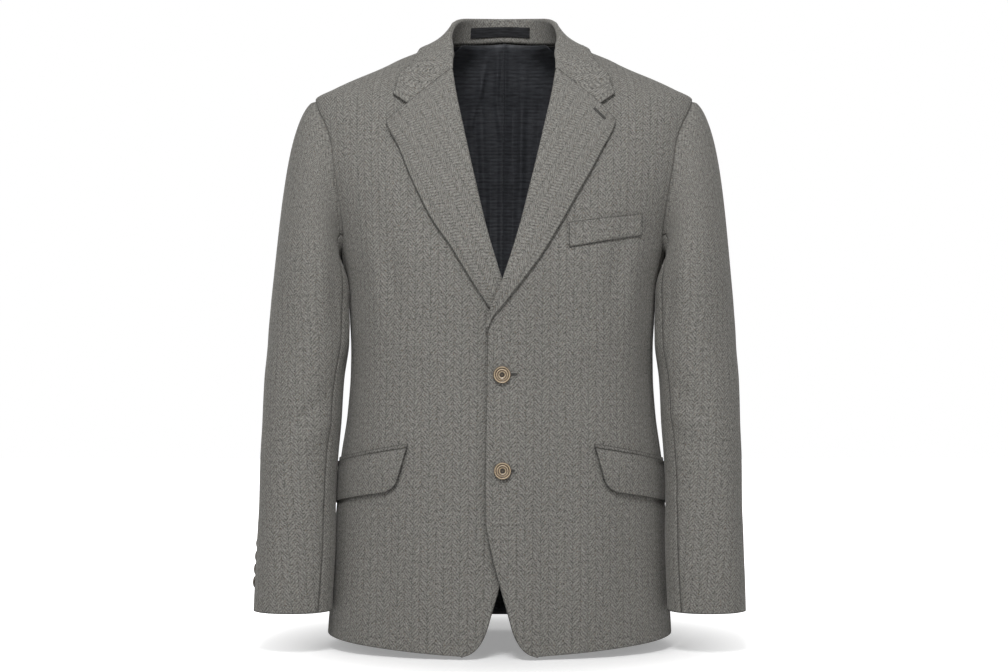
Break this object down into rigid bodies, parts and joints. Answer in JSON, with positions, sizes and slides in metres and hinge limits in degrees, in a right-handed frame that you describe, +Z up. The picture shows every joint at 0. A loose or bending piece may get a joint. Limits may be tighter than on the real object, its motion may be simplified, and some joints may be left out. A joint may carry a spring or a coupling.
{
  "type": "suit jacket",
  "caption": "Single-breasted wool suit jacket, worn shape with nobody in it: hollow body and sleeves, notched lapels, folded collar, flapped hip pockets, breast welt and horn buttons.",
  "frame": {"origin": "at the neck, midway between the shoulders and level with the shoulder seams' inner ends, where a wearer's shoulders hold the jacket up", "axes": "+Z up, the front faces -Y, +X is the wearer's left"},
  "size_m": [0.5935, 0.2886, 0.7812],
  "materials": {
    "wool": "fine grey herringbone wool, pressed, matt with a soft nap",
    "lining": "charcoal satin lining with a fine rib",
    "label": "bare dark woven label",
    "horn": "tan and brown horn, polished",
    "cuff_horn": "tan and brown horn, polished"
  },
  "bodies": {
    "root": {"front_left": "wool", "front_right": "wool", "side_left": "wool", "side_right": "wool", "back_left": "wool", "back_right": "wool", "top_sleeve_left": "wool", "top_sleeve_right": "wool", "under_sleeve_left": "wool", "under_sleeve_right": "wool", "lapel_left": "wool", "lapel_right": "wool", "collar": "wool", "pocket_jet_left": "wool", "pocket_jet_right": "wool", "pocket_flap_left": "wool", "pocket_flap_right": "wool", "breast_welt": "wool", "back_lining_left": "lining", "back_lining_right": "lining", "neck_label": "label", "front_button_top": "horn", "front_button_lower": "horn", "cuff_button_left_1": "cuff_horn", "cuff_button_left_2": "cuff_horn", "cuff_button_left_3": "cuff_horn", "cuff_button_left_4": "cuff_horn", "cuff_button_right_1": "cuff_horn", "cuff_button_right_2": "cuff_horn", "cuff_button_right_3": "cuff_horn", "cuff_button_right_4": "cuff_horn"}
  },
  "joints": []
}
